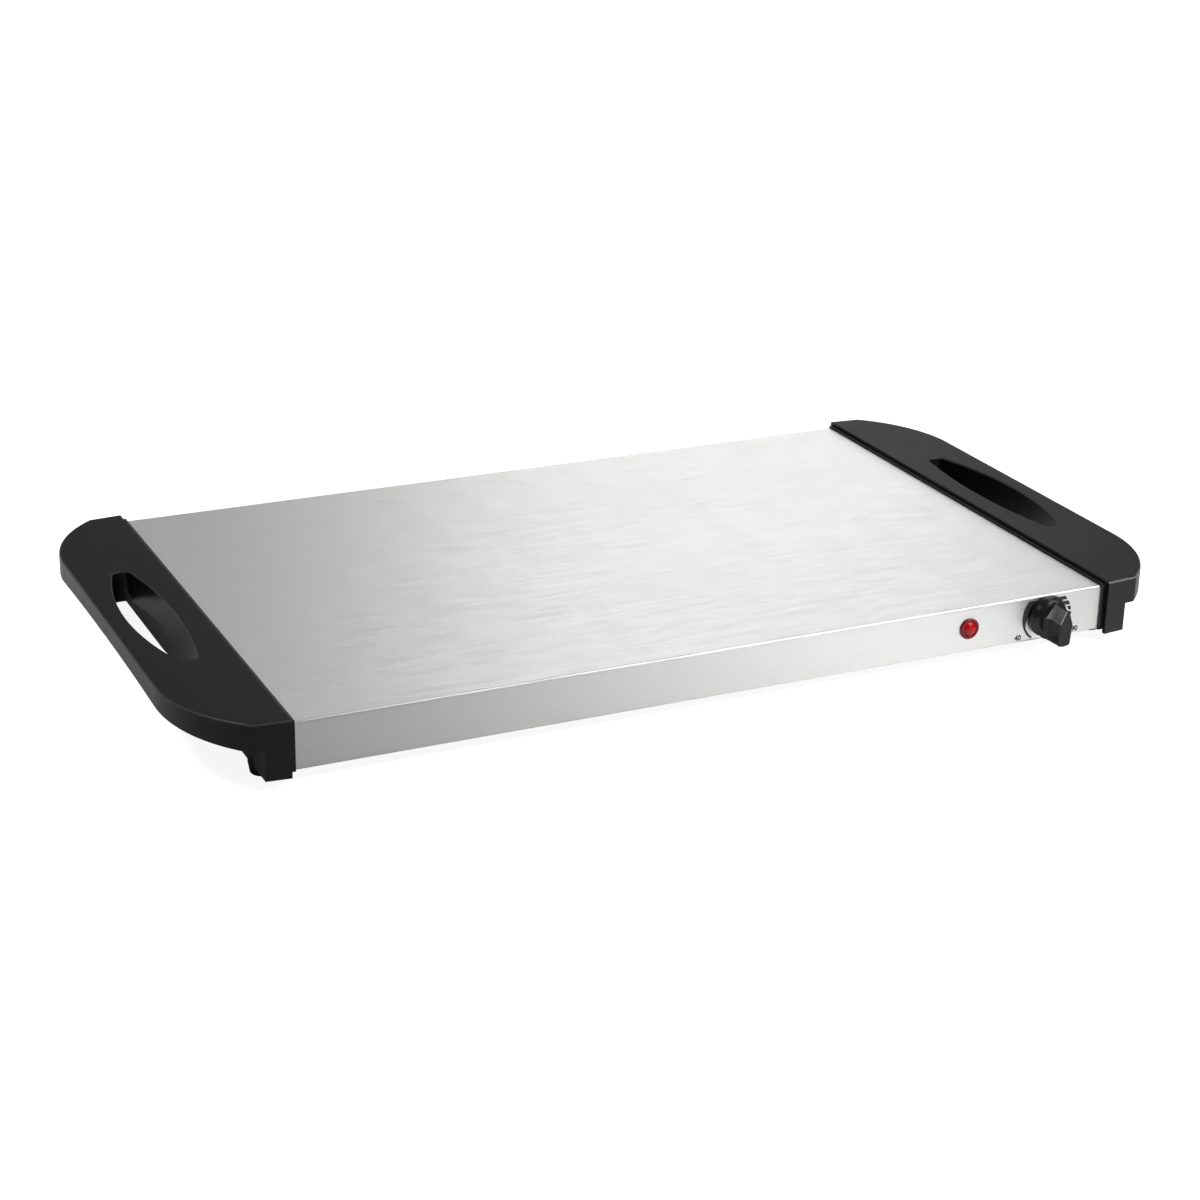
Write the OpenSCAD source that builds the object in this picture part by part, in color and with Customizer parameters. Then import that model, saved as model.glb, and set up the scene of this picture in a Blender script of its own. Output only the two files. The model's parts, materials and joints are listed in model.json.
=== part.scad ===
// Electric food warmer tray: folded stainless shell, moulded end caps with
// grip openings, foil heating stack, bimetal thermostat, pilot lamp and inlet.
// X runs along the tray, Y runs front (negative) to back, Z is up from the table.

/* [Warming shell] */
// Width of the warming surface between the end caps
surface_w = 520; // [420:1:640]
// Depth of the folded shell, front to back
shell_d = 330; // [290:1:400]
// Height of the front and rear faces
face_h = 28.6; // [28:0.1:36]
// Thickness of the stainless sheet
sheet_t = 0.6; // [0.5:0.1:1]
// Outside radius of the folds
fold_r = 1.5; // [1.2:0.1:3]
// Width of the flanges turned in under the shell
flange_w = 13; // [11:0.5:18]
// Length of shell hidden inside each end cap
shell_lap = 2; // [1:0.5:3]

/* [End caps] */
// Length of each end cap along the tray
cap_w = 54; // [50:0.5:70]
// Depth that an end cap stands proud of the shell at front and back
cap_proud_y = 4; // [3.6:0.1:8]
// Height that an end cap stands proud of the warming surface
cap_proud_z = 3.2; // [2.6:0.1:6]
// Height of the shell's lower edge above the end caps' lower edge
shell_lift = 2.2; // [1.8:0.1:4]
// Width of the closed box beside the shell
box_w = 14.6; // [14:0.1:16]
// Moulded wall thickness
cap_wall = 2.5; // [1.8:0.1:2.8]
// Length of the short flat face at each corner
cap_face_w = 20.7; // [16:0.1:24]
// Radius of the large plan corners
cap_corner_r = 87; // [80:1:95]
// Narrowing of the flat faces towards the corner arcs
cap_face_taper = 1.9; // [1:0.1:2.6]
// Rounding of the upper edge
cap_edge_r = 1.5; // [0.8:0.1:2.2]
// Height of the handle rim at mid depth
rim_h = 10.5; // [9:0.5:14]
// Radius of the arched underside of the rim
rim_arch_r = 2400; // [2000:10:4000]
// Width of the lip that laps over the shell
lip_w = 2.9; // [1.5:0.1:4]
// Thickness of that lip
lip_t = 1.0; // [0.8:0.1:1.5]
// Clearance between shell and moulding
shell_gap = 0.1; // [0.05:0.05:0.3]
// Thickness of the strengthening ribs under the rim
rib_t = 1.6; // [1:0.1:2.5]

/* [Grip opening] */
// Length of the opening
grip_l = 145; // [120:1:160]
// Distance from the warming surface to the opening at mid depth
grip_offset = 13.8; // [13.5:0.1:15]
// Width of the opening at mid depth
grip_w = 28.6; // [25:0.1:30]
// Radius of the side nearest the shell
grip_inner_r = 380; // [340:5:500]
// Radius of the outer side
grip_outer_r = 230; // [210:5:300]
// Radius of the four blunt corners
grip_corner_r = 4.3; // [3:0.1:5]
// Rounding of the opening's upper edge
grip_edge_r = 0.8; // [0.4:0.1:1.2]

/* [Feet] */
// Height of the rubber feet below the end caps
foot_h = 6.5; // [4:0.5:10]
// Radius of a foot where it meets the end cap
foot_top_r = 7.9; // [7.5:0.1:8.5]
// Radius of a foot at the table
foot_bottom_r = 7; // [6:0.1:7.4]
// Distance of the feet from the end caps' front and back faces
foot_inset_y = 27; // [24:0.5:36]
// Distance of the feet from the warming surface
foot_inset_x = 8; // [8:0.1:9]
// Radius of the boss above each foot
foot_boss_r = 8; // [7.9:0.1:8.6]

/* [Base] */
// Thickness of the base sheet
base_t = 0.7; // [0.6:0.1:1]
// Margin between base sheet and shell faces
base_margin = 4; // [3.5:0.5:6]
// Number of vents in each row
vent_count = 12; // [6:1:16]
// Length of a vent
vent_l = 34; // [20:1:50]
// Width of a vent
vent_w = 3; // [2:0.5:5]
// Radius of the base screws
base_screw_r = 1.5; // [1.2:0.1:1.8]
// Radius of the screws that hold the end caps
cap_screw_r = 1.6; // [1.3:0.1:1.8]
// Spacing of the screws in each end cap
cap_screw_pitch = 96; // [70:1:110]

/* [Heating stack] */
// Length of the heated area
heat_l = 400; // [340:1:410]
// Depth of the heated area
heat_d = 236; // [200:1:240]
// Thickness of the aluminium heat spreader
spreader_t = 1; // [0.8:0.1:2]
// Thickness of each mica sheet
mica_t = 0.5; // [0.4:0.1:1]
// Thickness of the resistance ribbon
ribbon_t = 0.3; // [0.2:0.1:0.5]
// Width of the resistance ribbon
ribbon_w = 4; // [3:0.5:6]
// Number of ribbon runs
ribbon_runs = 10; // [6:2:12]
// Thickness of the insulation felt
felt_t = 6; // [4:0.5:8]
// Thickness of the pressure plate
press_t = 0.8; // [0.6:0.1:1.2]
// Radius of the welded studs
stud_r = 2; // [1.5:0.1:2.5]
// Clearance of the holes around the studs
stud_gap = 0.4; // [0.2:0.1:1]

/* [Control knob] */
// Distance of the knob axis from the right end of the warming surface
knob_inset = 41.6; // [36:0.1:55]
// Height of the knob axis above the end caps' lower edge
knob_z = 17.6; // [15:0.1:19]
// Radius of the knob skirt
knob_skirt_r = 13; // [11:0.1:13.2]
// Radius of the knob's upper shoulder
knob_shoulder_r = 11.2; // [9:0.1:11.4]
// Distance that the knob stands out from the shell
knob_l = 22; // [19:0.5:26]
// Gap behind the knob
knob_gap = 0.6; // [0.3:0.1:1]
// Height of the stepped body behind the grip
knob_body_h = 7.4; // [6:0.1:9]
// Width of the grip blade at its front
blade_w = 8; // [6:0.1:10]
// Height of the blade's shoulders above the axis
blade_shoulder = 1.7; // [0:0.1:4]
// Height of the blade's tip above the axis
blade_tip = 11; // [9:0.1:11.5]
// Radius of the thermostat shaft
shaft_r = 3; // [2.5:0.1:3.2]
// Radial running clearance of the shaft
shaft_gap = 0.06; // [0.02:0.01:0.1]

/* [Pilot lamp] */
// Distance of the lamp from the right end of the warming surface
lamp_inset = 96.4; // [85:0.1:140]
// Height of the lamp above the end caps' lower edge
lamp_z = 17.3; // [15:0.1:19]
// Radius of the lens flange
lens_r = 6.5; // [6:0.1:8]
// Distance that the lens stands out
lens_proud = 3; // [2:0.1:5]
// Radius of the lamp body
lamp_body_r = 5; // [4.5:0.1:5.5]

/* [Appliance inlet] */
// Distance of the inlet from the right end of the warming surface
inlet_inset = 110; // [95:1:200]
// Width of the inlet's flange
inlet_flange_w = 31; // [30:0.5:34]
// Height of the inlet's flange
inlet_flange_h = 23.6; // [23:0.1:25]
// Width of the inlet's body
inlet_body_w = 27; // [26.6:0.1:28]
// Height of the inlet's body
inlet_body_h = 19.8; // [19.4:0.1:21]
// Depth of the inlet's body
inlet_body_d = 22; // [20:0.5:26]
// Depth of the socket
socket_d = 17; // [16:0.5:18]

/* [Hidden] */
$fn = 64;
big = 1000;
eps = 0.01;

// Levels, measured up from the table.
cap_bottom = foot_h;
shell_bottom = cap_bottom + shell_lift;
shell_top = shell_bottom + face_h;
cap_top = shell_top + cap_proud_z;
base_bottom = shell_bottom - base_t;
knob_level = cap_bottom + knob_z;
knob_x = surface_w / 2 - knob_inset;
lamp_x = surface_w / 2 - lamp_inset;
inlet_x = surface_w / 2 - inlet_inset;
lamp_level = cap_bottom + lamp_z;
inlet_level = (shell_bottom + shell_top) / 2;

// The row frame's origin is under the middle of the whole object.
cap_d = shell_d + 2 * cap_proud_y;
front_reach = shell_d / 2 + knob_l;
back_reach = cap_d / 2;
frame_y = (front_reach - back_reach) / 2;

// End cap plan, for the cap on the +X side.
cap_in = surface_w / 2;
cap_out = cap_in + cap_w;
box_out = cap_in + box_w;
corner_cx = cap_out - cap_corner_r;
kink_x = cap_in + cap_face_w;
kink_y = cap_d / 2 - cap_face_taper;
corner_cy = kink_y - sqrt(pow(cap_corner_r, 2) - pow(kink_x - corner_cx, 2));
kink_a = acos((kink_x - corner_cx) / cap_corner_r);
corner_steps = 24;
edge_steps = 4;

// Grip opening plan.
grip_in = cap_in + grip_offset;
grip_out = grip_in + grip_w;
grip_steps = 20;

foot_x = cap_in + foot_inset_x;
foot_y = cap_d / 2 - foot_inset_y;
foot_stem_r = 4;
foot_stem_h = 3;
foot_screw_r = 1.5;
foot_screw_head_r = 3.3;
foot_screw_l = 15;
foot_seat = 3;

cap_boss_r = 4;
cap_boss_x = cap_in + box_w / 2;
boss_drop = 14;
cap_screw_l = 13;
base_screw_l = 7;

// Heating stack levels, downwards from the warming surface.
spreader_z = shell_top - sheet_t - spreader_t;
mica_upper_z = spreader_z - mica_t;
ribbon_z = mica_upper_z - ribbon_t;
mica_lower_z = ribbon_z - mica_t;
run_l = heat_l - 80;
run_pitch = 0.2 * floor((heat_d - 70) / (ribbon_runs - 1) / 0.2);
first_y = -run_pitch * (ribbon_runs - 1) / 2;
tail_x = heat_l / 2 + 9;
felt_z = mica_lower_z - felt_t;
press_z = felt_z - press_t;
stud_h = shell_top - sheet_t - press_z + 5;
stud_x = heat_l / 2 - 22;
stud_y = heat_d / 2 - 16;
nut_h = 3.2;
nut_af = 7;
washer_r = 4.5;
washer_t = 0.8;

// Thermostat.
front_y = -shell_d / 2;
bush_r = 4.5;
bush_in = 9;
bush_out = 3.4;
thermo_nut_h = 2;
bracket_t = 1;
bracket_w = 24;
bracket_h = 22;
stack_w = 16;
stack_h = 12;
stack_d = 12;
blade_tail = 13;
arm_tail = 14;
shaft_tail = 4;

// Knob, drawn with its axis along local Z and the steel face at zero.
knob_back = knob_gap;
knob_front = knob_l;
bore_top = 13;
nut_room_r = 8.6;
nut_room_d = 3.6;
blade_back_w = blade_w + 0.8;
blade_flare = 3.2;
blade_slope = 1.8;
flat_depth = 0.9;
clip_t = 0.35;

// Lamp.
lamp_body_d = 22;
lens_rim_t = 1.2;

// Wiring.
lead_r = 1.1;
lead_bead = 0.2;
lead_gap = 0.01;
lead_z = shell_bottom + 6;
low_lead_z = shell_bottom + 3;
pin_end_y = shell_d / 2 - inlet_body_d - 2;
term_x = inlet_x - 44;
term_y = shell_d / 2 - 22;
term_pitch = 10;
term_d = 16;
term_hole_z = shell_bottom + 7.5;
term_entry = term_d / 2 + 0.2;
earth_x = inlet_x + 38;
earth_y = shell_d / 2 - 7;
washer_h = 0.8;
cutout_x = heat_l / 2 - 60;
cutout_z = press_z - 3;
cutout_l = 11;
cutout_wire_l = 14;
stack_x = knob_x - bracket_w / 2 - stack_w / 2;
stack_y = front_y + sheet_t + 2 + stack_d / 2;

function arc(cx, cy, r, a0, a1, n) =
    [for (i = [0:n]) let (a = a0 + (a1 - a0) * i / n) [cx + r * cos(a), cy + r * sin(a)]];

// Plan outline of the end cap, drawn in by d from its outer edge.
function cap_outline(d) = concat(
    [[cap_in, -cap_d / 2 + d]],
    arc(corner_cx, -corner_cy, cap_corner_r - d, -kink_a, 0, corner_steps),
    arc(corner_cx, corner_cy, cap_corner_r - d, 0, kink_a, corner_steps),
    [[cap_in, cap_d / 2 - d]]);

// Plan outline of the grip opening, let out by d from its wall.
function grip_outline(d) =
    let (ro = grip_outer_r + d,
         ri = grip_inner_r + d,
         rc = grip_corner_r + d,
         xo = grip_out - grip_outer_r,
         xi = grip_in + grip_inner_r,
         yc = grip_l / 2 - grip_corner_r,
         ao = asin(yc / (grip_outer_r - grip_corner_r)),
         ai = asin(yc / (grip_inner_r - grip_corner_r)),
         cxo = xo + (grip_outer_r - grip_corner_r) * cos(ao),
         cxi = xi - (grip_inner_r - grip_corner_r) * cos(ai))
    concat(
        arc(xo, 0, ro, -ao, ao, grip_steps),
        arc(cxo, yc, rc, ao, 90, 4),
        arc(cxi, yc, rc, 90, 180 - ai, 4),
        arc(xi, 0, ri, 180 - ai, 180 + ai, grip_steps),
        arc(cxi, -yc, rc, 180 + ai, 270, 4),
        arc(cxo, -yc, rc, 270, 360 - ao, 4));

// Solid through stacked outlines that all have the same number of points.
module loft(rings, levels) {
    n = len(rings[0]);
    m = len(rings);
    pts = [for (k = [0:m - 1]) for (p = rings[k]) [p[0], p[1], levels[k]]];
    sides = [for (k = [0:m - 2]) for (i = [0:n - 1])
        let (j = (i + 1) % n) [k * n + i, (k + 1) * n + i, (k + 1) * n + j, k * n + j]];
    polyhedron(
        points = pts,
        faces = concat(
            [[for (i = [0:n - 1]) i]],
            sides,
            [[for (i = [n - 1:-1:0]) (m - 1) * n + i]]),
        convexity = 6);
}

module place() {
    translate([0, frame_y, 0]) children();
}

module both_ends() {
    for (s = [0, 1]) mirror([s, 0, 0]) children();
}

module front_and_back() {
    for (s = [0, 1]) mirror([0, s, 0]) children();
}

module block(x0, x1, y0, y1, z0, z1) {
    translate([x0, y0, z0]) cube([x1 - x0, y1 - y0, z1 - z0]);
}

// Shaft or hole along Y, from y0 to y1.
module rod_y(x, z, r, y0, y1) {
    translate([x, y1, z]) rotate([90, 0, 0]) cylinder(r = r, h = y1 - y0);
}

module rounded_rect(w, h, r) {
    square([w - 2 * r, h], center = true);
    square([w, h - 2 * r], center = true);
    for (sx = [-1, 1]) for (sy = [-1, 1])
        translate([sx * (w / 2 - r), sy * (h / 2 - r)]) circle(r = r);
}

module rounded_block(w, d, h, r) {
    linear_extrude(height = h) rounded_rect(w, d, r);
}

// Hexagon nut with its axis along Z.
module hex_nut(af, h, r) {
    difference() {
        cylinder(r = af / 2 / cos(30), h = h, $fn = 6);
        translate([0, 0, -eps]) cylinder(r = r, h = h + 2 * eps);
    }
}

// ---------------------------------------------------------------- shell

module shell_profile() {
    mid = (shell_top + shell_bottom) / 2;
    difference() {
        translate([0, mid]) rounded_rect(shell_d, face_h, fold_r);
        translate([0, mid])
            rounded_rect(shell_d - 2 * sheet_t, face_h - 2 * sheet_t, fold_r - sheet_t);
        translate([-shell_d / 2 + flange_w, shell_bottom - 1])
            square([shell_d - 2 * flange_w, sheet_t + 2]);
    }
}

module base_screw_places() {
    for (i = [-1.5:1:1.5])
        front_and_back()
            translate([i * (surface_w - 60) / 3, shell_d / 2 - flange_w / 2 - 1, 0]) children();
}

module top_shell() {
    reach = surface_w / 2 + shell_lap;
    color([0.78, 0.78, 0.77])
    place() difference() {
        rotate([90, 0, 90])
            translate([0, 0, -reach]) linear_extrude(height = 2 * reach) shell_profile();
        rod_y(knob_x, knob_level, bush_r + 0.1, front_y - 1, front_y + 2);
        rod_y(lamp_x, lamp_level, lamp_body_r + 0.1, front_y - 1, front_y + 2);
        translate([inlet_x, shell_d / 2 + 1, inlet_level])
            rotate([90, 0, 0])
                rounded_block(inlet_body_w + 0.4, inlet_body_h + 0.4, 3, 2.2);
        base_screw_places()
            translate([0, 0, shell_bottom - 1]) cylinder(r = base_screw_r, h = sheet_t + 2);
    }
}

// ---------------------------------------------------------------- heating stack

module stud_places() {
    for (x = [-stud_x, 0, stud_x]) for (y = [-stud_y, stud_y]) translate([x, y, 0]) children();
}

module stack_sheet(z, t, margin) {
    difference() {
        translate([0, 0, z])
            rounded_block(heat_l + 2 * margin, heat_d + 2 * margin, t, 6);
        stud_places() translate([0, 0, z - 1]) cylinder(r = stud_r + stud_gap, h = t + 2);
    }
}

module heat_spreader() {
    color([0.80, 0.81, 0.83]) place() stack_sheet(spreader_z, spreader_t, 6);
}

module upper_mica_sheet() {
    color([0.80, 0.74, 0.60]) place() stack_sheet(mica_upper_z, mica_t, 3);
}

module lower_mica_sheet() {
    color([0.80, 0.74, 0.60]) place() stack_sheet(mica_lower_z, mica_t, 3);
}

// One unbroken flat ribbon that runs to and fro between the studs.
module heating_element() {
    color([0.52, 0.50, 0.50])
    place() translate([0, 0, ribbon_z]) {
        for (i = [0:ribbon_runs - 1]) {
            y = first_y + i * run_pitch;
            block(-run_l / 2, run_l / 2, y - ribbon_w / 2, y + ribbon_w / 2, 0, ribbon_t);
        }
        for (i = [0:ribbon_runs - 2]) {
            y = first_y + (i + 0.5) * run_pitch;
            side = i % 2 == 0 ? -1 : 1;
            translate([side * run_l / 2, y, 0]) difference() {
                cylinder(r = run_pitch / 2 + ribbon_w / 2, h = ribbon_t);
                translate([0, 0, -1]) cylinder(r = run_pitch / 2 - ribbon_w / 2, h = ribbon_t + 2);
                translate([side > 0 ? -big : 0, -big / 2, -1]) cube([big, big, 3]);
            }
        }
        for (y = [first_y, -first_y])
            block(run_l / 2, tail_x + 2, y - ribbon_w / 2, y + ribbon_w / 2, 0, ribbon_t);
    }
}

module insulation_felt() {
    color([0.93, 0.92, 0.88]) place() stack_sheet(felt_z, felt_t, 2);
}

// Flat sheet with turned-down edges and two stiffening beads.
module pressure_plate() {
    edge_h = 4;
    color([0.70, 0.72, 0.74])
    place() {
        stack_sheet(press_z, press_t, 5);
        for (s = [-1, 1])
            translate([0, s * (heat_d / 2 + 5 - press_t / 2), press_z - edge_h / 2 + 0.1])
                cube([heat_l - 10, press_t, edge_h], center = true);
        for (y = [-45, 45])
            translate([-heat_l / 2 + 40, y, press_z]) difference() {
                rotate([0, 90, 0]) cylinder(r = 3, h = heat_l - 80);
                translate([-1, -5, 0.1]) cube([heat_l, 10, 10]);
            }
    }
}

module clamp_studs() {
    color([0.62, 0.63, 0.65])
    place() stud_places()
        translate([0, 0, shell_top - sheet_t - stud_h]) cylinder(r = stud_r, h = stud_h);
}

module clamp_nuts() {
    color([0.66, 0.66, 0.68])
    place() stud_places() {
        translate([0, 0, press_z - washer_t]) difference() {
            cylinder(r = washer_r, h = washer_t);
            translate([0, 0, -1]) cylinder(r = stud_r, h = washer_t + 2);
        }
        translate([0, 0, press_z - washer_t - nut_h + eps]) hex_nut(nut_af, nut_h, stud_r);
    }
}

// ---------------------------------------------------------------- base

module cap_screw_places() {
    for (i = [-1, 0, 1]) translate([cap_boss_x, i * cap_screw_pitch, 0]) children();
}

// Galvanised base: flat sheet, end tabs inside the caps, vents and two beads.
module base_plate() {
    half_w = surface_w / 2 - 1;
    half_d = shell_d / 2 - base_margin;
    tab_d = foot_y - foot_boss_r - 2;
    tab_x = cap_boss_x + cap_boss_r;
    vent_pitch = (surface_w - 120) / vent_count;
    color([0.68, 0.69, 0.71])
    place() difference() {
        union() {
            block(-half_w, half_w, -half_d, half_d, base_bottom, shell_bottom);
            block(-tab_x, tab_x, -tab_d, tab_d, base_bottom, shell_bottom);
            for (y = [-42, 42])
                translate([-surface_w / 2 + 50, y, base_bottom + 0.1]) difference() {
                    rotate([0, 90, 0]) cylinder(r = 4, h = surface_w - 100);
                    translate([-1, -6, -6 - 0.1]) cube([surface_w, 12, 6]);
                }
        }
        for (y = [-84, 84]) for (i = [0:vent_count - 1])
            translate([(i - (vent_count - 1) / 2) * vent_pitch, y, base_bottom - 1])
                rotate([0, 0, 90]) rounded_block(vent_l, vent_w, base_t + 2, vent_w / 2 - 0.05);
        base_screw_places()
            translate([0, 0, base_bottom - 1]) cylinder(r = base_screw_r, h = base_t + 2);
        both_ends() cap_screw_places()
            translate([0, 0, base_bottom - 1]) cylinder(r = cap_screw_r, h = base_t + 2);
    }
}

// Pan-head screw that points up, with its head's seat at z = 0.
module screw_up(r, head_r, head_h, l) {
    translate([0, 0, -head_h]) difference() {
        union() {
            cylinder(r1 = head_r * 0.8, r2 = head_r, h = head_h / 2);
            translate([0, 0, head_h / 2]) cylinder(r = head_r, h = head_h / 2);
        }
        for (a = [0, 90]) rotate([0, 0, a])
            translate([-head_r * 0.55, -0.35, -1]) cube([head_r * 1.1, 0.7, 1 + head_h * 0.55]);
    }
    translate([0, 0, -eps]) cylinder(r = r, h = l - r);
    translate([0, 0, l - r - eps]) cylinder(r1 = r, r2 = 0.2, h = r);
}

module base_screws() {
    color([0.60, 0.61, 0.63])
    place() base_screw_places()
        translate([0, 0, base_bottom]) screw_up(base_screw_r, 2.9, 1.4, base_screw_l);
}

module cap_screws() {
    color([0.60, 0.61, 0.63])
    place() both_ends() cap_screw_places()
        translate([0, 0, base_bottom]) screw_up(cap_screw_r, 3.2, 1.4, cap_screw_l);
}

// ---------------------------------------------------------------- end caps

// Outside of the moulding: plan outline with a rounded upper edge.
module cap_body() {
    steps = [for (k = [0:edge_steps]) 90 * k / edge_steps];
    loft(
        concat([cap_outline(0)], [for (a = steps) cap_outline(cap_edge_r * (1 - cos(a)))]),
        concat([cap_bottom], [for (a = steps) cap_top - cap_edge_r * (1 - sin(a))]));
}

// Opening for the fingers, with a rounded upper edge.
module grip_cut() {
    steps = [for (k = [0:edge_steps]) 90 * k / edge_steps];
    loft(
        concat(
            [grip_outline(0)],
            [for (a = steps) grip_outline(grip_edge_r * (1 - cos(a)))],
            [grip_outline(grip_edge_r)]),
        concat(
            [cap_bottom - 1],
            [for (a = steps) cap_top - grip_edge_r * (1 - sin(a))],
            [cap_top + 1]));
}

// Everything below the arched underside of the handle rim.
module under_rim(x0) {
    arch_top = cap_top - rim_h;
    translate([x0, 0, arch_top - rim_arch_r])
        rotate([0, 90, 0]) cylinder(r = rim_arch_r, h = cap_w, $fn = 1440);
}

// Hollow under the rim: inside the outline, outside the grip wall, between ribs.
module rim_pocket() {
    roof = cap_top - cap_wall - 0.7;
    pocket_in = box_out + 0.3;
    difference() {
        translate([0, 0, cap_bottom]) linear_extrude(height = roof - cap_bottom)
            difference() {
                polygon(cap_outline(cap_wall));
                polygon(grip_outline(cap_wall));
                translate([0, -big / 2]) square([pocket_in, big]);
            }
        for (y = [-130, -105, -50, 0, 50, 105, 130])
            block(box_out - 1, cap_out, y - rib_t / 2, y + rib_t / 2, cap_bottom, cap_top);
        for (y = [-82, 82])
            block(box_out - 1, cap_out, y - rib_t / 2, y + rib_t / 2, cap_bottom, cap_top);
    }
}

// Hollow box that closes the end of the shell.
module box_cavity() {
    inner_y = cap_d / 2 - cap_wall;
    block(cap_in - 1, box_out - cap_wall, -inner_y, inner_y, cap_bottom - 1, cap_top - cap_wall);
}

module cap_bosses() {
    cap_screw_places()
        translate([0, 0, cap_top - cap_wall - boss_drop])
            cylinder(r = cap_boss_r, h = boss_drop + 1);
    cap_screw_places()
        translate([0, 0, shell_bottom]) cylinder(r = cap_boss_r, h = cap_top - shell_bottom - 1.2);
    for (i = [-1, 0, 1])
        block(cap_boss_x, box_out - 1, i * cap_screw_pitch - rib_t / 2,
              i * cap_screw_pitch + rib_t / 2, shell_bottom + 3, cap_top - 1);
    front_and_back()
        translate([foot_x, foot_y, cap_bottom])
            cylinder(r = foot_boss_r, h = cap_top - cap_bottom - 1.2);
}

module cap_holes() {
    cap_screw_places()
        translate([0, 0, shell_bottom - 1]) cylinder(r = cap_screw_r, h = 15);
    front_and_back() translate([foot_x, foot_y, cap_bottom - 1]) {
        cylinder(r = foot_stem_r + 0.05, h = foot_stem_h + 1);
        cylinder(r = foot_screw_r, h = 15);
    }
}

// Lip that laps over the ends of the shell, on top and on both faces.
module cap_lip() {
    lip_in = cap_in - lip_w;
    lip_out = cap_in + shell_lap + 1;
    lip_y = shell_d / 2 + shell_gap;
    lip_z = shell_top + shell_gap;
    inner_y = cap_d / 2 - cap_wall;
    block(lip_in, lip_out, -inner_y - 0.5, inner_y + 0.5, lip_z, cap_top - cap_wall + 0.5);
    front_and_back()
        block(lip_in, lip_out, lip_y, inner_y + 0.5, shell_bottom, lip_z + 0.5);
}

module cap_lip_trim() {
    lip_z = shell_top + shell_gap + lip_t;
    lip_y = shell_d / 2 + shell_gap + lip_t;
    block(cap_in - lip_w - 1, cap_in - eps, -big, big, lip_z, cap_top + 1);
    front_and_back() block(cap_in - lip_w - 1, cap_in - eps, lip_y, big, 0, cap_top + 1);
    // Room for the shell's own end.
    block(cap_in - lip_w - 1, cap_in + shell_lap + shell_gap,
          -shell_d / 2 - shell_gap, shell_d / 2 + shell_gap,
          shell_bottom - 0.2, shell_top + shell_gap);
}

// The cap on the +X side.
module end_cap() {
    difference() {
        union() {
            difference() {
                cap_body();
                difference() {
                    under_rim(box_out);
                    front_and_back() translate([foot_x, foot_y, cap_bottom - 1])
                        cylinder(r = foot_boss_r, h = cap_top);
                }
                rim_pocket();
                box_cavity();
            }
            intersection() {
                cap_bosses();
                union() {
                    block(cap_in - 1, box_out, -cap_d, cap_d, 0, cap_top);
                    front_and_back() translate([foot_x, foot_y, 0])
                        cylinder(r = foot_boss_r, h = cap_top);
                }
            }
            cap_lip();
        }
        cap_lip_trim();
        grip_cut();
        cap_holes();
    }
}

module left_end_cap() {
    color([0.13, 0.13, 0.14]) place() mirror([1, 0, 0]) end_cap();
}

module right_end_cap() {
    color([0.13, 0.13, 0.14]) place() end_cap();
}

// ---------------------------------------------------------------- feet

module foot_places() {
    both_ends() front_and_back() translate([foot_x, foot_y, 0]) children();
}

module feet() {
    sole = 0.8;
    color([0.07, 0.07, 0.07])
    place() foot_places() difference() {
        union() {
            cylinder(r1 = foot_bottom_r - sole, r2 = foot_bottom_r, h = sole);
            translate([0, 0, sole])
                cylinder(r1 = foot_bottom_r, r2 = foot_top_r, h = foot_h - sole);
            translate([0, 0, foot_h - eps]) cylinder(r = foot_stem_r, h = foot_stem_h);
        }
        translate([0, 0, -1]) cylinder(r = foot_screw_head_r + 0.5, h = foot_seat + 1);
        translate([0, 0, -1]) cylinder(r = foot_screw_r, h = foot_h + foot_stem_h + 2);
    }
}

module foot_screws() {
    color([0.60, 0.61, 0.63])
    place() foot_places()
        translate([0, 0, foot_seat]) screw_up(foot_screw_r, foot_screw_head_r, 1.8, foot_screw_l);
}

// ---------------------------------------------------------------- thermostat

module thermostat_bracket() {
    y0 = front_y + sheet_t;
    foot_z = knob_level + bracket_h / 2 - 4;
    color([0.66, 0.67, 0.69])
    place() difference() {
        union() {
            block(knob_x - bracket_w / 2, knob_x + bracket_w / 2, y0, y0 + bracket_t,
                  knob_level - bracket_h / 2, foot_z);
            for (s = [-1, 1])
                translate([knob_x + s * (bracket_w - bracket_t) / 2, y0 + bush_in, knob_level])
                    cube([bracket_t, 2 * bush_in, stack_h - 1], center = true);
            block(knob_x - bracket_w / 2, knob_x + bracket_w / 2,
                  y0 + 2 * bush_in - bracket_t, y0 + 2 * bush_in,
                  knob_level - 7, knob_level + 7);
        }
        rod_y(knob_x, knob_level, bush_r, y0 - 1, y0 + bracket_t + 1);
        rod_y(knob_x, knob_level, shaft_r + 1, y0 + bracket_t + 1, y0 + 2 * bush_in + 1);
    }
}

module thermostat_bushing() {
    y0 = front_y + sheet_t + bracket_t;
    color([0.80, 0.66, 0.36])
    place() difference() {
        union() {
            rod_y(knob_x, knob_level, bush_r, front_y - bush_out, y0 + bush_in);
            rod_y(knob_x, knob_level, bush_r + 1.8, y0, y0 + 2);
        }
        rod_y(knob_x, knob_level, shaft_r + shaft_gap, front_y - bush_out - 1, y0 + bush_in + 1);
    }
}

module thermostat_nut() {
    color([0.72, 0.72, 0.74])
    place() translate([knob_x, front_y, knob_level])
        rotate([90, 0, 0]) hex_nut(13, thermo_nut_h, bush_r);
}

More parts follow.
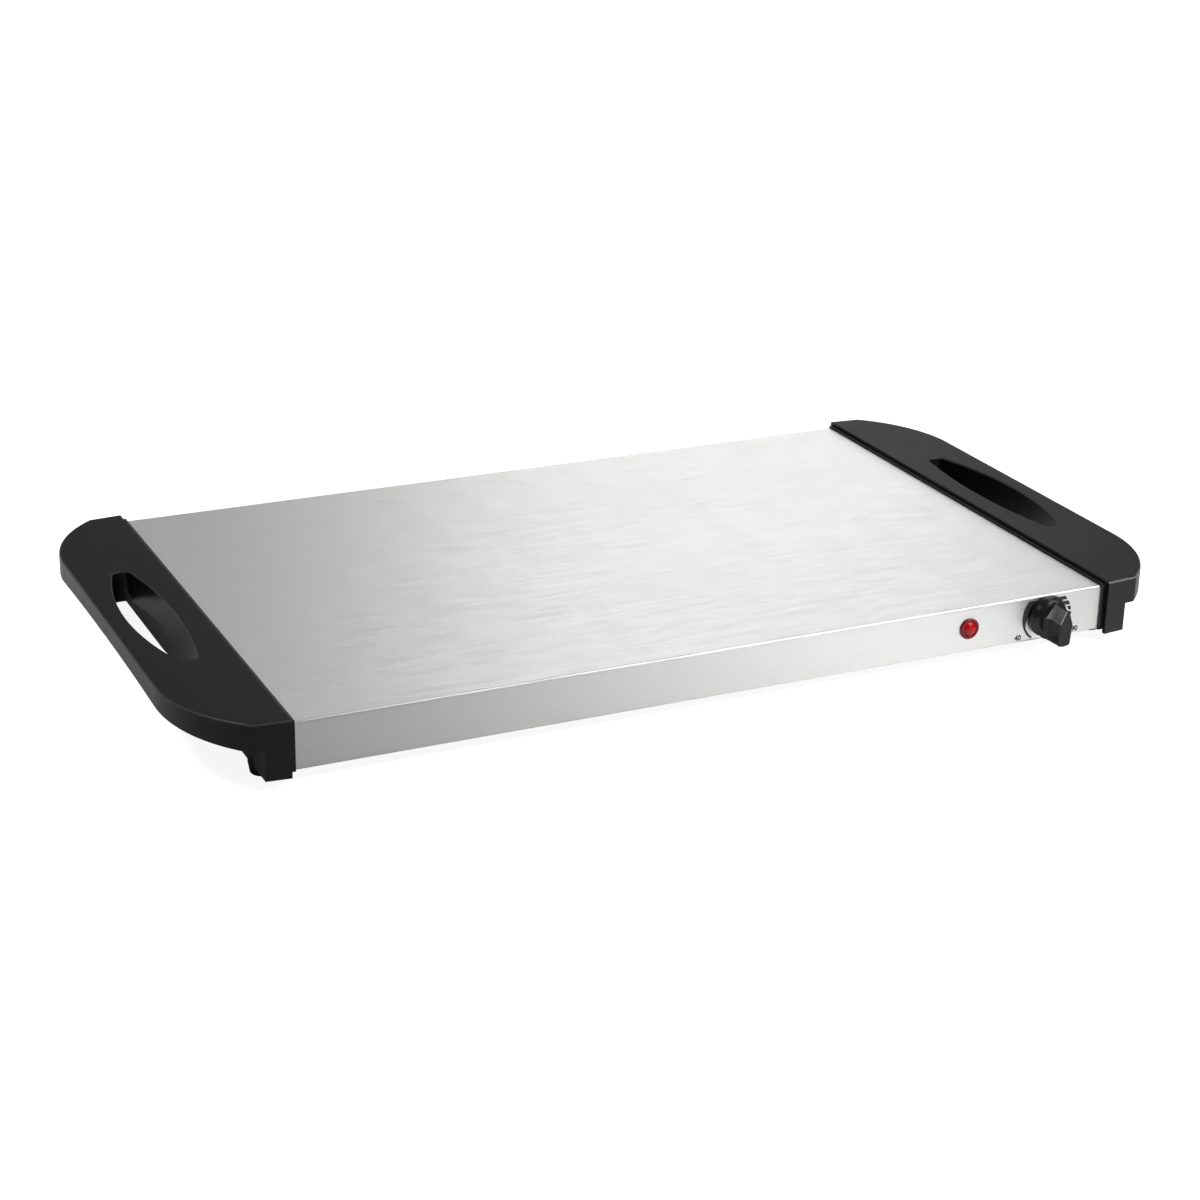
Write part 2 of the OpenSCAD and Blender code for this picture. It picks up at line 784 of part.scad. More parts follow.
// Ceramic spacers clamped round the blades, behind the bracket.
module thermostat_stack() {
    x0 = knob_x - bracket_w / 2 - stack_w;
    y0 = front_y + sheet_t + 2;
    color([0.90, 0.88, 0.82])
    place() difference() {
        union() {
            for (i = [0:2])
                translate([x0 + stack_w / 2, y0 + stack_d / 2, knob_level - stack_h / 2 + i * 4])
                    cylinder(r = stack_d / 2 - (i == 1 ? 1 : 0), h = 4);
            block(x0 + stack_w / 2, x0 + stack_w, y0 + 2, y0 + stack_d - 2,
                  knob_level - 3, knob_level + 3);
        }
        translate([x0 + stack_w / 2, y0 + stack_d / 2, 0]) cylinder(r = 1.6, h = big);
    }
}

module bimetal_blade() {
    x0 = stack_x;
    y0 = stack_y;
    z0 = knob_level + stack_h / 2;
    color([0.72, 0.64, 0.50])
    place() difference() {
        union() {
            block(x0 - blade_tail, x0 + 30, y0 - 4, y0 + 4, z0, z0 + 0.8);
            translate([x0, y0, z0]) cylinder(r = 6, h = 0.8);
        }
        translate([x0, y0, 0]) cylinder(r = 1.6, h = big);
    }
}

module contact_arm() {
    x0 = stack_x;
    y0 = stack_y;
    z0 = knob_level - stack_h / 2 - 0.6;
    color([0.80, 0.58, 0.36])
    place() difference() {
        union() {
            block(x0 - arm_tail, x0 + 4, y0 - 3, y0 + 3, z0, z0 + 0.6);
            translate([x0, y0, z0]) cylinder(r = 5, h = 0.6);
            translate([x0 - 11, y0, z0 + 0.5]) cylinder(r = 1.5, h = 1);
        }
        translate([x0, y0, 0]) cylinder(r = 1.6, h = big);
    }
}

module stack_rivet() {
    x0 = stack_x;
    y0 = stack_y;
    z0 = knob_level - stack_h / 2 - 0.6;
    color([0.70, 0.71, 0.73])
    place() translate([x0, y0, z0]) {
        cylinder(r = 1.6, h = stack_h + 1.4);
        translate([0, 0, -1]) cylinder(r = 2.8, h = 1);
        translate([0, 0, stack_h + 1.4]) cylinder(r = 2.8, h = 1);
    }
}

// ---------------------------------------------------------------- knob

module along_knob_axis() {
    place() translate([knob_x, front_y, knob_level]) rotate([90, 0, 0]) children();
}

module shaft_section(r) {
    difference() {
        circle(r = r);
        translate([-r - 1, r - flat_depth]) square([2 * r + 2, r]);
    }
}

module thermostat_shaft() {
    color([0.74, 0.75, 0.77])
    along_knob_axis() {
        translate([0, 0, -sheet_t - 2 * bush_in + 3])
            cylinder(r = shaft_r, h = sheet_t + 2 * bush_in - 3 + bush_out);
        translate([0, 0, bush_out - eps])
            linear_extrude(height = bore_top - bush_out) shaft_section(shaft_r);
        translate([0, 0, -sheet_t - 2 * bush_in - shaft_tail + 2])
            cylinder(r = shaft_r - 1, h = shaft_tail + 2);
    }
}

// House-shaped section of the grip blade: half width w, flared by f at its root.
function blade_outline(w, f) = [
    [-w - f, -sqrt(pow(knob_skirt_r, 2) - pow(w, 2)) + 1],
    [-w + 1, -sqrt(pow(knob_skirt_r, 2) - pow(w - 1, 2))],
    [0, -knob_skirt_r],
    [w - 1, -sqrt(pow(knob_skirt_r, 2) - pow(w - 1, 2))],
    [w + f, -sqrt(pow(knob_skirt_r, 2) - pow(w, 2)) + 1],
    [w + f, blade_shoulder + f / 2],
    [0.5, blade_tip - 0.4],
    [0, blade_tip],
    [-0.5, blade_tip - 0.4],
    [-w - f, blade_shoulder + f / 2]];

module knob_blade() {
    root = knob_body_h - 1;
    flare_top = knob_body_h + 5;
    steps = [0, 0.15, 0.35, 0.6, 1];
    front_w = blade_w / 2;
    back_w = blade_back_w / 2;
    intersection() {
        difference() {
            loft(
                concat(
                    [for (s = steps) blade_outline(back_w, blade_flare * pow(1 - s, 2.4))],
                    [blade_outline(front_w, 0)]),
                concat([for (s = steps) root + s * (flare_top - root)], [knob_front + 3]));
            // Front face leans back towards the lower end.
            translate([0, blade_tip, knob_front])
                rotate([atan(blade_slope / (blade_tip + knob_skirt_r)), 0, 0])
                    translate([-20, -50, 0]) cube([40, 60, 20]);
        }
        cylinder(r = knob_skirt_r, h = 40);
    }
}

module knob() {
    color([0.08, 0.08, 0.08])
    along_knob_axis() difference() {
        union() {
            rotate_extrude() polygon([
                [0, knob_back], [knob_skirt_r - 0.3, knob_back], [knob_skirt_r, knob_back + 0.4],
                [knob_skirt_r, knob_back + 1.8], [knob_skirt_r - 0.5, knob_back + 2.3],
                [knob_shoulder_r + 0.3, knob_body_h - 2.2], [knob_shoulder_r, knob_body_h - 1.5],
                [knob_shoulder_r - 1.5, knob_body_h], [0, knob_body_h]]);
            knob_blade();
        }
        translate([0, 0, knob_back - 1]) cylinder(r = nut_room_r, h = nut_room_d + 1);
        translate([0, 0, knob_back])
            linear_extrude(height = bore_top - knob_back + 0.2) shaft_section(shaft_r);
        translate([-1.6, shaft_r - flat_depth - 0.01, knob_back + nut_room_d - 1])
            cube([3.2, clip_t + 0.02, bore_top - nut_room_d + 0.6]);
    }
}

// Leaf spring between the flat of the shaft and the knob.
module knob_spring() {
    z0 = nut_room_d + knob_back + 0.6;
    color([0.78, 0.79, 0.80])
    along_knob_axis()
        translate([-1.5, shaft_r - flat_depth, z0]) cube([3, clip_t, bore_top - z0 - 0.4]);
}

// ---------------------------------------------------------------- pilot lamp

module pilot_lens() {
    color([0.72, 0.05, 0.06])
    place() translate([lamp_x, front_y, lamp_level]) rotate([90, 0, 0]) difference() {
        rotate_extrude() polygon([
            [0, -9], [lamp_body_r - 1, -9], [lamp_body_r - 1, 0], [lens_r, 0], [lens_r, 0.7],
            [lens_r - 0.5, lens_rim_t], [lens_r - 1.5, lens_rim_t + 0.1],
            [lens_r - 1.9, lens_rim_t - 0.3], [lens_r - 2.3, lens_rim_t - 0.1],
            [lens_r - 3.2, lens_proud - 0.9], [lens_r - 4.6, lens_proud - 0.2], [0, lens_proud]]);
        translate([0, 0, -10]) cylinder(r = lamp_body_r - 2, h = 9 + lens_proud - 1);
    }
}

module lamp_housing() {
    color([0.16, 0.16, 0.16])
    place() translate([lamp_x, front_y, lamp_level]) rotate([90, 0, 0]) difference() {
        union() {
            translate([0, 0, -lamp_body_d]) cylinder(r = lamp_body_r, h = lamp_body_d);
            translate([0, 0, -lamp_body_d])
                cylinder(r = lamp_body_r + 0.8, h = lamp_body_d - sheet_t - 3.4);
        }
        translate([0, 0, -9]) cylinder(r = lamp_body_r - 1, h = 10);
        translate([0, 0, -lamp_body_d + 2])
            cylinder(r = lamp_body_r - 2, h = lamp_body_d - 9);
    }
}

// Push-on ring that holds the lamp against the back of the face.
module lamp_clip() {
    color([0.75, 0.76, 0.78])
    place() translate([lamp_x, front_y + sheet_t, lamp_level]) rotate([90, 0, 0])
        translate([0, 0, -1]) difference() {
            cylinder(r = 7.6, h = 1);
            translate([0, 0, -1]) cylinder(r = lamp_body_r, h = 3);
            for (a = [0:60:300]) rotate([0, 0, a])
                translate([lamp_body_r - 0.5, -0.4, -1]) cube([1.7, 0.8, 3]);
        }
}

module neon_bulb() {
    color([0.95, 0.85, 0.80])
    place() translate([lamp_x, front_y, lamp_level]) rotate([90, 0, 0]) {
        translate([0, 0, -12]) cylinder(r = 2.2, h = 10);
        translate([0, 0, -2]) sphere(r = 2.2);
    }
}

// ---------------------------------------------------------------- inlet and wiring

module at_inlet() {
    place() translate([inlet_x, shell_d / 2, inlet_level]) rotate([-90, 180, 0]) children();
}

// Plan of the socket: a rectangle with its two upper corners cut off.
module socket_section(w, h, cut) {
    polygon([
        [-w / 2, -h / 2], [w / 2, -h / 2], [w / 2, h / 2 - cut],
        [w / 2 - cut, h / 2], [-w / 2 + cut, h / 2], [-w / 2, h / 2 - cut]]);
}

module inlet_housing() {
    flange_t = 2;
    color([0.10, 0.10, 0.11])
    at_inlet() difference() {
        union() {
            rounded_block(inlet_flange_w, inlet_flange_h, flange_t, 2.5);
            translate([0, 0, -inlet_body_d])
                rounded_block(inlet_body_w, inlet_body_h, inlet_body_d + 1, 2);
        }
        translate([0, 0, flange_t - socket_d])
            linear_extrude(height = socket_d + 1) socket_section(24.2, 16.4, 3.6);
        for (x = [-7, 0, 7])
            translate([x, x == 0 ? 2 : -2, -inlet_body_d / 2 - 6])
                cube([2, 4, inlet_body_d], center = true);
    }
}

module inlet_pins() {
    pin_l = 15;
    color([0.80, 0.70, 0.45])
    at_inlet() for (x = [-7, 0, 7])
        translate([x, x == 0 ? 2 : -2, 2 - socket_d + pin_l / 2 - 4.5])
            cube([2, 4, pin_l + 9], center = true);
}

// Lead made of straight runs with round corners.
module lead(points, r) {
    for (i = [0:len(points) - 2]) {
        d = points[i + 1] - points[i];
        l = norm(d);
        translate(points[i])
            rotate([0, acos(d[2] / l), atan2(d[1], d[0])]) rotate([0, 0, 37]) cylinder(r = r, h = l, $fn = 24);
    }
    for (i = [1:len(points) - 2]) translate(points[i]) sphere(r = r + lead_bead, $fn = 24);
}

module terminal_block() {
    color([0.92, 0.91, 0.86])
    place() translate([term_x, term_y, shell_bottom]) difference() {
        union() {
            translate([-16, -term_d / 2, 0]) cube([32, term_d, 4]);
            for (i = [-1:1])
                translate([i * term_pitch - 4, -term_d / 2, 3]) cube([8, term_d, 9]);
        }
        for (i = [-1:1]) translate([i * term_pitch, 0, 0]) {
            translate([0, term_d / 2 + 1, term_hole_z - shell_bottom])
                rotate([90, 0, 0]) cylinder(r = 1.8, h = term_d + 2);
            for (y = [-4, 4]) translate([0, y, 7]) cylinder(r = 1.6, h = 6);
        }
    }
}

module terminal_screws() {
    color([0.80, 0.66, 0.36])
    place() for (i = [-1:1]) for (y = [-4, 4])
        translate([term_x + i * term_pitch, term_y + y, shell_bottom + 9.4]) difference() {
            cylinder(r = 1.5, h = 2.2);
            translate([-2, -0.25, 1.6]) cube([4, 0.5, 1]);
        }
}

module live_lead() {
    color([0.45, 0.26, 0.14])
    place() lead([
        [inlet_x - 7, pin_end_y, inlet_level + 2],
        [inlet_x - 7, pin_end_y - 8, lead_z],
        [term_x + term_pitch, term_y - 26, lead_z],
        [term_x + term_pitch, term_y - term_entry, term_hole_z]], lead_r);
}

module neutral_lead() {
    color([0.16, 0.30, 0.62])
    place() lead([
        [inlet_x + 7, pin_end_y, inlet_level + 2],
        [inlet_x + 7, pin_end_y - 14, lead_z],
        [term_x, term_y - 32, lead_z],
        [term_x, term_y - term_entry, term_hole_z]], lead_r);
}

module earth_lead() {
    color([0.35, 0.55, 0.20])
    place() lead([
        [inlet_x, pin_end_y, inlet_level - 2],
        [inlet_x, pin_end_y - 5, lead_z],
        [earth_x, pin_end_y - 5, lead_z],
        [earth_x, earth_y, lead_z],
        [earth_x, earth_y, shell_bottom + sheet_t + 2 * washer_h]], lead_r);
}

// Screw, washer and nut that bond the shell to the earth lead.
module earth_stud() {
    color([0.82, 0.68, 0.38])
    place() translate([earth_x, earth_y, shell_bottom + sheet_t]) {
        cylinder(r = 4, h = washer_h);
        translate([0, 0, washer_h / 2]) cylinder(r = 3.2, h = 1.5 * washer_h, $fn = 6);
    }
}

// Lead from the terminal block to the ribbon's first tail.
module ribbon_lead() {
    round_x = term_x - 21;
    color([0.90, 0.90, 0.88])
    place() lead([
        [term_x, term_y + term_entry, term_hole_z],
        [term_x, term_y + 12, lead_z],
        [round_x, term_y + 12, lead_z],
        [round_x, -first_y, lead_z],
        [tail_x, -first_y, lead_z],
        [tail_x, -first_y, ribbon_z]], lead_r);
}

// Lead from the terminal block to the tail of the bimetal blade.
module thermostat_lead() {
    pass_x = term_x + 23;
    side_x = surface_w / 2 - 36;
    rise_x = stack_x - blade_tail - 5;
    blade_z = knob_level + stack_h / 2 - lead_r;
    color([0.90, 0.90, 0.88])
    place() lead([
        [term_x + term_pitch, term_y + term_entry, term_hole_z],
        [term_x + term_pitch, term_y + 14, low_lead_z],
        [pass_x, term_y + 14, low_lead_z],
        [pass_x, term_y - 43, low_lead_z],
        [side_x, term_y - 43, low_lead_z],
        [side_x, front_y + 34, low_lead_z],
        [rise_x, stack_y, low_lead_z],
        [rise_x, stack_y, blade_z],
        [rise_x + 8, stack_y, blade_z]], lead_r);
}

// Lead from the contact arm to the thermal cut-out, and from there to the
// ribbon's second tail.
module cutout_leads() {
    arm_x = stack_x - arm_tail + 3;
    arm_z = knob_level - stack_h / 2 - 0.6 - lead_r;
    wire_start = cutout_x - cutout_wire_l - lead_gap;
    wire_end = cutout_x + cutout_l + cutout_wire_l + lead_gap;
    color([0.90, 0.90, 0.88])
    place() {
        lead([
            [arm_x, stack_y - 2, arm_z],
            [arm_x, front_y + 50, arm_z],
            [wire_start - 12, -20, arm_z],
            [wire_start - 12, 0, cutout_z],
            [wire_start, 0, cutout_z]], lead_r);
        lead([
            [wire_end, 0, cutout_z],
            [wire_end + 5, 0, cutout_z],
            [wire_end + 12, -10, lead_z],
            [tail_x, first_y, lead_z],
            [tail_x, first_y, ribbon_z]], lead_r);
    }
}

// Thermal cut-out in its sleeve, clipped under the pressure plate.
module thermal_cutout() {
    color([0.72, 0.73, 0.74])
    place() translate([cutout_x, 0, cutout_z]) rotate([0, 90, 0]) {
        cylinder(r = 2, h = cutout_l);
        translate([0, 0, -cutout_wire_l]) cylinder(r = 0.5, h = cutout_l + 2 * cutout_wire_l);
    }
}

module cutout_clip() {
    color([0.68, 0.69, 0.71])
    place() translate([cutout_x + 3, 0, cutout_z]) difference() {
        union() {
            rotate([0, 90, 0]) cylinder(r = 2.6, h = 5);
            translate([0, -9, 2.4]) cube([5, 18, 0.6]);
        }
        translate([-1, 0, 0]) rotate([0, 90, 0]) cylinder(r = 2, h = 7);
    }
}

top_shell();
heat_spreader();
upper_mica_sheet();
heating_element();
lower_mica_sheet();
insulation_felt();
pressure_plate();
clamp_studs();
clamp_nuts();
base_plate();
base_screws();
cap_screws();
left_end_cap();
right_end_cap();
feet();
foot_screws();
thermostat_bracket();
thermostat_bushing();
thermostat_nut();
thermostat_stack();
bimetal_blade();
contact_arm();
stack_rivet();
thermostat_shaft();
knob();
knob_spring();
pilot_lens();
lamp_housing();
lamp_clip();
neon_bulb();
inlet_housing();
inlet_pins();
terminal_block();
terminal_screws();
live_lead();
neutral_lead();
earth_lead();
earth_stud();
ribbon_lead();
thermostat_lead();
cutout_leads();
thermal_cutout();
cutout_clip();
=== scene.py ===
"""Looks of an electric food warmer tray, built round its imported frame."""

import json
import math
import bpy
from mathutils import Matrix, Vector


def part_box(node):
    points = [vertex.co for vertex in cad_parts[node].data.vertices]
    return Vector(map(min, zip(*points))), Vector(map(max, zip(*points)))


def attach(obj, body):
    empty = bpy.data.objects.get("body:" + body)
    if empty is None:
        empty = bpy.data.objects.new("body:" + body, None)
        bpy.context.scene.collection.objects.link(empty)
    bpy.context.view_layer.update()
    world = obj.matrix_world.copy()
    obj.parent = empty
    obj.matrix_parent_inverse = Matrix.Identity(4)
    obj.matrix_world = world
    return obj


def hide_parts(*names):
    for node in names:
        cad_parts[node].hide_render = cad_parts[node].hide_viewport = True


bl_info = {
    "name": "Food Warmer Tray",
    "version": (1, 0, 0),
    "blender": (4, 5, 0),
    "location": "3D View > Sidebar > Warmer",
    "description": "Finishes, shaped pieces and studio for an electric food warmer tray",
    "category": "Object",
}

import bpy
from mathutils import Matrix, Vector

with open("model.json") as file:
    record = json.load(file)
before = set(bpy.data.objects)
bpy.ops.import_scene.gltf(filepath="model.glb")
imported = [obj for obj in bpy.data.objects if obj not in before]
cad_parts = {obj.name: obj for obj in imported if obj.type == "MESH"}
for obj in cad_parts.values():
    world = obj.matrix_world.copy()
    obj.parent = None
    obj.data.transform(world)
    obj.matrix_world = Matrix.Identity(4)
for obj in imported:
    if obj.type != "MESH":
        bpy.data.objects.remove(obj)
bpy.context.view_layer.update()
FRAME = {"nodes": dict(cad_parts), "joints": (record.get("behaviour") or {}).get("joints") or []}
NODES = FRAME["nodes"]
KNOB_AXIS = Vector(FRAME["joints"][0]["pos_m"])
SHELL_LOW, SHELL_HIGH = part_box("top_shell")
KNOB_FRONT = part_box("knob")[0].y
CAP_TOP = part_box("left_end_cap")[1].z
LENS_CENTRE = sum(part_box("pilot_lens"), Vector()) / 2
MIDDLE_Y = (SHELL_LOW.y + SHELL_HIGH.y) / 2
MM = 0.001

# Window round the lower edge of each grip wall, in metres.
GRIP_REACH = 0.0755
GRIP_LOW, GRIP_HIGH = 0.2705, 0.3053
ARCH_LOW, ARCH_HIGH = 0.0275, 0.0305

# Printed scale, in millimetres from the knob's axis and degrees from its top.
SCALE_CEILING = 10.5
ARC_START, ARC_THICKENS = -145, 115
ARC_THIN, ARC_GROWTH = 1.35, 0.1
BLOCKS_END, BLOCKS_TAPER = 100, 55
BLOCK_LONG, BLOCK_SHRINK = 4.0, 0.07
BLOCK_INSET, BLOCK_DRIFT = 0.3, 0.04
BLOCK_GAPS, HALF_GAP = (7.7, 4.0, 0.4, -2.8), 0.5

# Numbers at the scale's ends: name, figure and millimetres to the right of the knob's axis.
SCALE_NUMBERS = (("scale_low_number", "40", -19.3), ("scale_high_number", "90", 21.8))
NUMBER_DROP, NUMBER_SIZE, NUMBER_PROUD, NUMBER_BOLD = 12.2, 4.5, 0.02, 0.2

# End caps, in metres: where the rim starts past the shell, then depths below the top: the band of
# painted highlight along the rounded top edges, and the coat.
RIM_START, HALF_KNIT_LINE = 0.02, 0.0003
HIGHLIGHT_BAND_HIGH, HIGHLIGHT_BAND_LOW, COAT_HIGH = 0.00015, 0.0013, 0.0002

# Blade of the knob, with the upper flanks that get a painted highlight, and rim of the lens, in
# millimetres.
BLADE_TOP, BLADE_LEAN = 11, 0.075
FLANK_LOW, FLANK_HIGH = 1.9, 10.4
FLANK_START, FLANK_END, LINE_END = 0.15, 13.0, 0.8
LENS_RIM = 4.4

# Rolled or turned metals: name, tone, roughness, sizes of the marks, spread, nodes.
METALS = (
    (
        "zinc_plating", (0.55, 0.56, 0.58), 0.28, (0.004, 0.004, 0.0004), 0.06,
        (
            "clamp_studs", "clamp_nuts", "base_screws", "cap_screws", "foot_screws",
            "thermostat_nut", "stack_rivet", "lamp_clip", "terminal_screws", "earth_stud",
            "knob_spring",
        ),
    ),
    (
        "turned_brass", (0.60, 0.43, 0.16), 0.3, (0.002, 0.0003, 0.002), 0.06,
        ("thermostat_bushing", "inlet_pins"),
    ),
    (
        "spreader_sheet", (0.62, 0.63, 0.65), 0.34, (0.12, 0.0008, 0.0008), 0.06,
        ("heat_spreader",),
    ),
    (
        "resistance_ribbon", (0.24, 0.22, 0.21), 0.5, (0.02, 0.0005, 0.0005), 0.2,
        ("heating_element",),
    ),
    (
        "shaft_plating", (0.58, 0.59, 0.61), 0.25, (0.003, 0.0003, 0.003), 0.06,
        ("thermostat_shaft",),
    ),
    (
        "blade_alloy", (0.52, 0.37, 0.22), 0.35, (0.02, 0.0006, 0.0006), 0.06,
        ("bimetal_blade", "contact_arm"),
    ),
)

# Sleeves of the leads: name, tone, size of the weave, nodes.
SLEEVES = (
    ("brown_sleeve", (0.17, 0.07, 0.03), 0.0009, ("live_lead",)),
    ("blue_sleeve", (0.03, 0.09, 0.36), 0.0009, ("neutral_lead",)),
    ("green_sleeve", (0.10, 0.27, 0.04), 0.0009, ("earth_lead",)),
    (
        "white_sleeve", (0.78, 0.78, 0.74), 0.0005,
        ("ribbon_lead", "thermostat_lead", "cutout_leads"),
    ),
)

# Studio. Softboxes: name, position, aim, size, brightness.
SOFTBOXES = (
    ("top_box", (1.0, -0.5, 1.35), (0, 0, 0), (1.3, 1.2), 3.4),
    ("back_box", (0.5, 2.7, 1.2), (0, 0, 0), (3.4, 2.4), 0.32),
    ("left_box", (-1.0, 0.15, 1.35), (-0.2, 0, 0), (0.6, 0.5), 4.0),
    ("back_right_box", (1.43, 2.30, 1.27), (0, 0, 0), (1.32, 2.2), 0.98),
    ("front_right_box", (0.68, -1.32, 0.34), (0, -0.15, 0), (0.32, 0.62), 2.4),
)
# Pools: name, position, aim, angle in degrees, watts.
POOLS = (
    ("left_pool", (-1.0, 0.6, 1.1), (-0.43, 0.16, 0.0), 30, 70),
    ("front_pool", (0.45, -1.0, 1.0), (0.15, -0.24, 0.0), 26, 205),
)
FLOOR_SIZE, FLOOR_GLOW, FLOOR_MIRRORED = 40, 0.9, 0.07
AIR_LIGHT, AIR_SHOWN = 0.12, 0.88
CAMERA_PLACE = (-0.6383, -1.3242, 0.6023)
CAMERA_TURN = (25.54, 21.99, 1.25)  # yaw, pitch and roll in degrees


# ---------------------------------------------------------------- settings


def length(name, default, description):
    return bpy.props.FloatProperty(
        name=name, default=default, description=description, unit="LENGTH", precision=5
    )


def share(name, default, description):
    return bpy.props.FloatProperty(
        name=name, default=default, description=description, min=0, max=1
    )


def colour(name, default, description):
    return bpy.props.FloatVectorProperty(
        name=name, default=default, description=description, subtype="COLOR", size=3, min=0, max=1
    )


class SteelSettings(bpy.types.PropertyGroup):
    """Brushed shell and its printed scale."""

    tone: colour("Steel", (0.76, 0.757, 0.75), "Colour of the brushed sheet")
    roughness: share("Roughness", 0.35, "Roughness of the brushed sheet")
    line_width: length("Line width", 0.0009, "Spacing of the brush lines")
    line_length: length("Line length", 0.18, "Length of the brush lines")
    ink: colour("Ink", (0.008, 0.008, 0.009), "Colour of the printed scale")
    scale_radius: length("Scale radius", 0.017, "Outer radius of the printed scale")


class MouldingSettings(bpy.types.PropertyGroup):
    """Black mouldings."""

    cap_tone: colour("End caps", (0.004, 0.004, 0.0042), "Colour of the end caps")
    knob_tone: colour("Knob", (0.004, 0.004, 0.0042), "Colour of the knob")
    # Painted highlight: paler colour laid on the caps' rounded edges in place of the light they
    # catch.
    edge_highlight_tone: colour("Edges", (0.06, 0.06, 0.06), "Colour of the caps' rounded edges")
    # A pale line where the blade's upper flanks meet its front face.
    front_line_tone: colour("Pointer", (0.60, 0.60, 0.60), "Colour of the pointer line")
    # Painted highlight: paler grey on the blade's upper flanks in place of the light they reflect.
    flank_highlight_tone: colour("Flank", (0.12, 0.12, 0.12), "Colour of the blade's upper flanks")
    grip_depth: length("Grip depth", 0.008, "Depth added to the wall round each grip")
    grain: length("Grain", 0.0005, "Size of the moulded grain")


class LampSettings(bpy.types.PropertyGroup):
    """Pilot lamp."""

    tone: colour("Lens", (0.20, 0.0005, 0.001), "Colour of the lens")
    rim_tone: colour("Rim", (0.10, 0.0005, 0.002), "Colour of the lens near its edge")


class StudioSettings(bpy.types.PropertyGroup):
    """Floor, lamps and camera."""

    floor_tone: colour("Floor", (0.44, 0.44, 0.44), "Colour of the floor")
    focal_length: bpy.props.FloatProperty(
        name="Focal length", default=76.38, description="Lens of the camera in millimetres"
    )


class TraySettings(bpy.types.PropertyGroup):
    """All the settings of the tray."""

    steel: bpy.props.PointerProperty(type=SteelSettings, name="Steel", description="Steel settings")
    mouldings: bpy.props.PointerProperty(
        type=MouldingSettings, name="Mouldings", description="Settings of the black mouldings"
    )
    lamp: bpy.props.PointerProperty(type=LampSettings, name="Lamp", description="Lamp settings")
    studio: bpy.props.PointerProperty(
        type=StudioSettings, name="Studio", description="Studio settings"
    )


# ---------------------------------------------------------------- materials


def feed(socket, value):
    """Links or sets one input socket."""
    if isinstance(value, Signal):
        socket.id_data.links.new(value.socket, socket)
    elif value is not None:
        socket.default_value = value


class Signal:
    """A shader socket that takes part in plain arithmetic."""

    def __init__(self, socket):
        self.socket = socket

    def maths(self, operation, *values):
        node = self.socket.id_data.nodes.new("ShaderNodeMath")
        node.operation = operation
        for socket, value in zip(node.inputs, values):
            feed(socket, value)
        return Signal(node.outputs[0])

    def __add__(self, other):
        return self.maths("ADD", self, other)

    __radd__ = __add__

    def __sub__(self, other):
        return self.maths("SUBTRACT", self, other)

    def __rsub__(self, other):
        return self.maths("SUBTRACT", other, self)

    def __mul__(self, other):
        return self.maths("MULTIPLY", self, other)

    def __truediv__(self, other):
        return self.maths("DIVIDE", self, other)

    def __pow__(self, other):
        return self.maths("POWER", self, other)

    def __lt__(self, other):
        return self.maths("LESS_THAN", self, other)

    def __gt__(self, other):
        return self.maths("GREATER_THAN", self, other)

    def __abs__(self):
        return self.maths("ABSOLUTE", self)


class Finish:
    """A material under construction, with Object coordinates to hand."""

    def __init__(self, name, tone, roughness, metallic=0.0, **constants):
        self.material = bpy.data.materials.new(name)
        self.material.use_nodes = True
        self.tree = self.material.node_tree
        self.shader = self.tree.nodes["Principled BSDF"]
        self.tone = (*tone, 1.0)
        self.material.diffuse_color = self.tone
        self.set("Base Color", self.tone)
        self.set("Roughness", roughness)
        self.set("Metallic", metallic)
        for socket, value in constants.items():
            self.set(socket, value)
        self.place = self.node("ShaderNodeTexCoord", out="Object")

    def set(self, socket, value):
        feed(self.shader.inputs[socket], value)

    def node(self, kind, settings=None, sockets=None, out=0):
        """Adds a node, makes its settings, then feeds its sockets."""
        made = self.tree.nodes.new(kind)
        for name, value in (settings or {}).items():
            setattr(made, name, value)
        for name, value in (sockets or {}).items():
            feed(made.inputs[name], value)
        return Signal(made.outputs[out])

    def axes(self):
        """The three Object coordinates, in metres."""
        split = self.tree.nodes.new("ShaderNodeSeparateXYZ")
        feed(split.inputs[0], self.place)
        return [Signal(s) for s in split.outputs]

    def noise(self, size, detail=2.0, blur=0.5):
        """Noise whose grains have these sizes along X, Y and Z, in metres."""
        stretched = self.node(
            "ShaderNodeMapping", None, {"Vector": self.place, "Scale": [1 / s for s in size]}
        )
        return self.node(
            "ShaderNodeTexNoise",
            None,
            {"Vector": stretched, "Scale": 1.0, "Detail": detail, "Roughness": blur},
        )

    def cells(self, density):
        """Flat patches of random grey, this many to the metre."""
        patches = self.node(
            "ShaderNodeTexVoronoi",
            {"feature": "F1"},
            {"Vector": self.place, "Scale": density, "Randomness": 1.0},
            out="Color",
        )
        return self.node("ShaderNodeRGBToBW", None, {"Color": patches})

    def mixed(self, factor, low, high):
        """A colour between two, by a factor."""
        return self.node(
            "ShaderNodeMix", {"data_type": "RGBA"}, {0: factor, 6: low, 7: high}, out=2
        )

    def relief(self, height, depth, strength=1.0):
        """Bumps of a height from 0 to 1, this deep in metres."""
        self.set(
            "Normal",
            self.node(
                "ShaderNodeBump", None, {"Height": height, "Distance": depth, "Strength": strength}
            ),
        )

    def shades(self, factor, spread):
        """Base colour that varies a little to both sides of the tone."""
        low = [max(0, c * (1 - spread)) for c in self.tone[:3]] + [1]
        high = [min(1, c * (1 + spread)) for c in self.tone[:3]] + [1]
        return self.mixed(factor, low, high)


